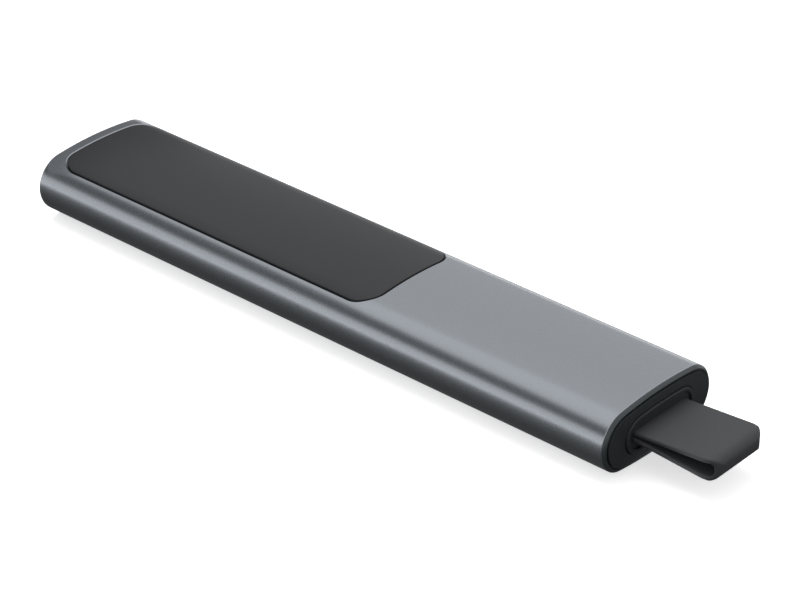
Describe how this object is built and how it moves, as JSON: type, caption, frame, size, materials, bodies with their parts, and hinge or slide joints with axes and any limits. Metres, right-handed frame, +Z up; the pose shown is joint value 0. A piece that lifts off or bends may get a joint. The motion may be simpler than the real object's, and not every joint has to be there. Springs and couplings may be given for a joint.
{
  "type": "presentation clicker",
  "caption": "Slim aluminium presentation clicker with a dark radio window, push buttons underneath and a plug-in receiver with a pull strap that slides out of its open end.",
  "frame": {"origin": "middle of the whole clicker, strap included, on the surface that it lies on", "axes": "+X along the body towards the strap and receiver, +Y across the body, +Z up through the dark panel, with the buttons underneath"},
  "size_m": [0.1468, 0.028, 0.0121],
  "materials": {
    "anodised_aluminium": "fine bead-blasted and anodised grey, satin",
    "radio_window_plastic": "fine spark-eroded satin, dark grey",
    "bezel_plastic": "satin dark grey moulding",
    "bay_plastic": "matte near-black moulding",
    "button_plastic": "satin soft-touch dark grey",
    "frame_plastic": "plain black moulding",
    "circuit_board": "solder mask over glass fibre",
    "black_screw_steel": "black oxide",
    "plated_steel": "plated sheet",
    "plug_steel": "nickel-plated folded sheet",
    "gold_plating": "gold flash",
    "black_moulding": "plain black moulding",
    "white_moulding": "plain off-white moulding",
    "white_ceramic": "fired ceramic",
    "chip_package": "moulded epoxy",
    "foil_pouch": "crimped foil",
    "black_tape": "foam adhesive tape",
    "red_insulation": "extruded insulation",
    "black_insulation": "extruded insulation",
    "flex_circuit": "copper under amber film",
    "rotor_weight": "sintered heavy alloy",
    "clear_pipe": "clear polished rod",
    "receiver_plastic": "matte near-black moulding",
    "strap_rubber": "smooth matte grey elastomer"
  },
  "bodies": {
    "root": {"housing_sleeve": "anodised_aluminium", "rear_panel": "radio_window_plastic", "panel_tape": "black_tape", "end_bezel": "bezel_plastic", "receiver_bay": "bay_plastic", "chassis_frame": "frame_plastic", "button_frame": "frame_plastic", "main_board": "circuit_board", "board_screws": "black_screw_steel", "bay_screws": "black_screw_steel", "charge_socket_shell": "plated_steel", "charge_socket_tongue": "black_moulding", "charge_socket_contacts": "gold_plating", "battery_cell": "foil_pouch", "battery_tape": "black_tape", "battery_guard_board": "circuit_board", "battery_lead_red": "red_insulation", "battery_lead_black": "black_insulation", "battery_connector": "white_moulding", "motor_tape": "black_tape", "motor_base": "plated_steel", "motor_can": "plated_steel", "motor_shaft": "plated_steel", "motor_leads": "flex_circuit", "radio_chip": "chip_package", "radio_shield": "plated_steel", "motion_sensor": "chip_package", "charger_chip": "chip_package", "clock_crystal": "plated_steel", "chip_antenna": "white_ceramic", "board_passives": "white_ceramic", "status_led": "white_ceramic", "light_pipe": "clear_pipe", "pointer_switch_case": "black_moulding", "pointer_switch_cover": "plated_steel", "pointer_switch_dome": "plated_steel", "next_switch_case": "black_moulding", "next_switch_cover": "plated_steel", "next_switch_dome": "plated_steel", "back_switch_case": "black_moulding", "back_switch_cover": "plated_steel", "back_switch_dome": "plated_steel"},
    "receiver": {"receiver_housing": "receiver_plastic", "receiver_end_plug": "receiver_plastic", "plug_shell": "plug_steel", "plug_tongue": "black_moulding", "plug_contacts": "gold_plating", "receiver_board": "circuit_board", "receiver_chip": "chip_package", "strap_pin": "plated_steel", "strap": "strap_rubber"},
    "pointer_press": {"pointer_button": "button_plastic", "pointer_switch_plunger": "black_moulding"},
    "next_press": {"next_button": "button_plastic", "next_switch_plunger": "black_moulding"},
    "back_press": {"back_button": "button_plastic", "back_switch_plunger": "black_moulding"},
    "rotor": {"motor_rotor": "rotor_weight"}
  },
  "joints": [
    {"name": "receiver_slide", "type": "slide", "parent": "root", "child": "receiver", "axis": [1, 0, 0], "range_m": [0, 0.028]},
    {"name": "pointer_button_press", "type": "slide", "parent": "root", "child": "pointer_press", "axis": [0, 0, 1], "range_m": [0, 0.00025], "stiffness_N_per_m": 5000, "springref_m": -0.00002, "deforming": ["pointer_switch_dome"]},
    {"name": "next_button_press", "type": "slide", "parent": "root", "child": "next_press", "axis": [0, 0, 1], "range_m": [0, 0.00025], "stiffness_N_per_m": 5000, "springref_m": -0.00002, "deforming": ["next_switch_dome"]},
    {"name": "back_button_press", "type": "slide", "parent": "root", "child": "back_press", "axis": [0, 0, 1], "range_m": [0, 0.00025], "stiffness_N_per_m": 5000, "springref_m": -0.00002, "deforming": ["back_switch_dome"]},
    {"name": "motor_spin", "type": "hinge", "parent": "root", "child": "rotor", "pos_m": [-0.02595, 0, 0.0055], "axis": [0, 0, 1], "continuous": true}
  ]
}
